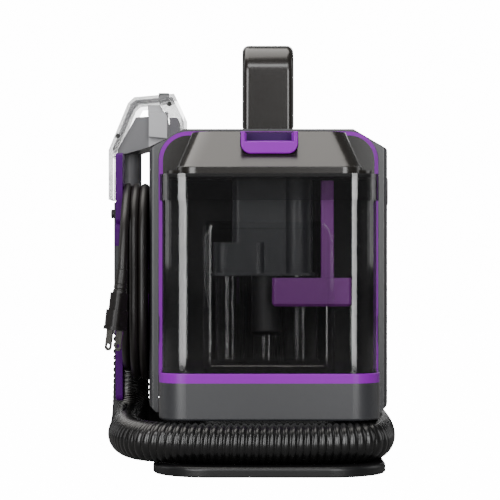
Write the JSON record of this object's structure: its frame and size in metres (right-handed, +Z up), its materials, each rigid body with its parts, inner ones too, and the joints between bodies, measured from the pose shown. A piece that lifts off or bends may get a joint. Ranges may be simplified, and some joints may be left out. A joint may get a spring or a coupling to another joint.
{
  "type": "portable carpet cleaner",
  "caption": "Portable spot carpet cleaner: waisted base holding a wound hose, front and rear lift-off tanks, carrying handle, docked hand tool, and a cord wound on side hooks.",
  "frame": {"origin": "centre of the base plate's underside, on the floor", "axes": "+Z up; -Y towards the dirty-water tank's end; +X away from the cord and the hand tool"},
  "size_m": [0.2408, 0.416, 0.345],
  "materials": {
    "black_matte": "moulded, fine grain",
    "rubber": "soft matt",
    "screw_steel": "plain",
    "grey_plastic": "satin",
    "purple_gloss": "gloss",
    "inner_black": "moulded",
    "black_gloss": "gloss",
    "motor_metal": "cast housing, satin",
    "smoked_clear": "clear, smoked",
    "clear_plastic": "clear",
    "cord_rubber": "matt",
    "blade_metal": "nickel plated",
    "hose_black": "gloss, corrugated",
    "light_grey": "satin",
    "dark_grey": "satin",
    "brush_nylon": "bristles"
  },
  "bodies": {
    "machine": {"base_plate": "black_matte", "rubber_feet": "rubber", "base_waist": "black_matte", "base_screws": "screw_steel", "chassis": "grey_plastic", "dirty_tank_rim": "purple_gloss", "clean_tank_rim": "purple_gloss", "body_shell_left": "grey_plastic", "body_shell_right": "grey_plastic", "tank_arch": "purple_gloss", "front_bulkhead": "inner_black", "rear_bulkhead": "inner_black", "exhaust_grille": "black_matte", "handle": "black_gloss", "handle_pad": "rubber", "handle_screws": "screw_steel", "power_switch": "inner_black", "suction_motor": "motor_metal", "fan_housing": "inner_black", "water_pump": "inner_black", "suction_duct": "inner_black", "dirty_water_pipe": "inner_black", "cord_hook_lower": "purple_gloss", "hook_screws": "screw_steel", "cord_coil": "cord_rubber", "cord_gland": "grey_plastic", "strain_relief": "cord_rubber", "cord_lead": "cord_rubber", "cord_tail": "cord_rubber", "plug_body": "cord_rubber", "plug_blades": "blade_metal", "hose_port": "black_matte", "suction_hose": "hose_black", "hose_cuff": "light_grey", "tool_grip": "dark_grey", "nozzle_dock": "purple_gloss", "tool_cradle": "grey_plastic"},
    "power_button": {"power_button": "purple_gloss"},
    "impeller": {"impeller": "inner_black"},
    "dirty_tank": {"dirty_tank": "smoked_clear"},
    "dirty_lid": {"lid_skirt": "smoked_clear", "lid_seal": "rubber", "lid_hood": "black_gloss", "separator": "inner_black", "separator_cage": "clear_plastic", "inlet_spout": "inner_black"},
    "lid_latch": {"lid_latch": "purple_gloss"},
    "float": {"float": "purple_gloss"},
    "clean_tank": {"clean_tank": "smoked_clear", "clean_tank_cover": "black_gloss"},
    "fill_cap": {"fill_cap": "purple_gloss"},
    "tank_valve": {"tank_valve": "inner_black"},
    "cord_hook": {"cord_hook_upper": "purple_gloss"},
    "spray_trigger": {"spray_trigger": "purple_gloss"},
    "tool_release": {"tool_release_button": "black_matte"},
    "tool_head": {"tool_head": "light_grey", "tool_window": "clear_plastic", "spray_nozzle": "inner_black", "tool_brush": "brush_nylon", "tool_screws": "screw_steel"}
  },
  "joints": [
    {"name": "power_button_press", "type": "slide", "parent": "machine", "child": "power_button", "axis": [0, 0, -1], "range_m": [0, 0.003], "stiffness_N_per_m": 1500},
    {"name": "impeller_spin", "type": "hinge", "parent": "machine", "child": "impeller", "pos_m": [0, 0.012, 0.17], "axis": [0, 0, 1], "continuous": true},
    {"name": "dirty_tank_lift", "type": "slide", "parent": "machine", "child": "dirty_tank", "axis": [0, 0, 1], "range_m": [0, 0.21]},
    {"name": "dirty_lid_lift", "type": "slide", "parent": "dirty_tank", "child": "dirty_lid", "axis": [0, 0, 1], "range_m": [0, 0.15]},
    {"name": "lid_latch_pull", "type": "hinge", "parent": "dirty_lid", "child": "lid_latch", "pos_m": [0, -0.1445, 0.2623], "axis": [-1, 0, 0], "range_deg": [0, 15], "stiffness_Nm_per_rad": 1},
    {"name": "float_rise", "type": "slide", "parent": "dirty_lid", "child": "float", "axis": [0, 0, 1], "range_m": [0, 0.008]},
    {"name": "clean_tank_lift", "type": "slide", "parent": "machine", "child": "clean_tank", "axis": [0, 0, 1], "range_m": [0, 0.2]},
    {"name": "fill_cap_lift", "type": "slide", "parent": "clean_tank", "child": "fill_cap", "axis": [0, 0, 1], "range_m": [0, 0.05]},
    {"name": "tank_valve_press", "type": "slide", "parent": "clean_tank", "child": "tank_valve", "axis": [0, 0, 1], "range_m": [0, 0.003], "stiffness_N_per_m": 500},
    {"name": "cord_hook_turn", "type": "hinge", "parent": "machine", "child": "cord_hook", "pos_m": [-0.1, -0.05, 0.178], "axis": [1, 0, 0], "range_deg": [-25, 60]},
    {"name": "spray_trigger_pull", "type": "hinge", "parent": "machine", "child": "spray_trigger", "pos_m": [-0.1185, 0.0315, 0.201], "axis": [-1, 0, 0], "range_deg": [0, 9], "stiffness_Nm_per_rad": 0.8},
    {"name": "tool_release_press", "type": "slide", "parent": "machine", "child": "tool_release", "axis": [1, 0, 0], "range_m": [0, 0.0016], "stiffness_N_per_m": 1200},
    {"name": "tool_head_lift", "type": "slide", "parent": "machine", "child": "tool_head", "axis": [0, 0, 1], "range_m": [0, 0.07]}
  ]
}
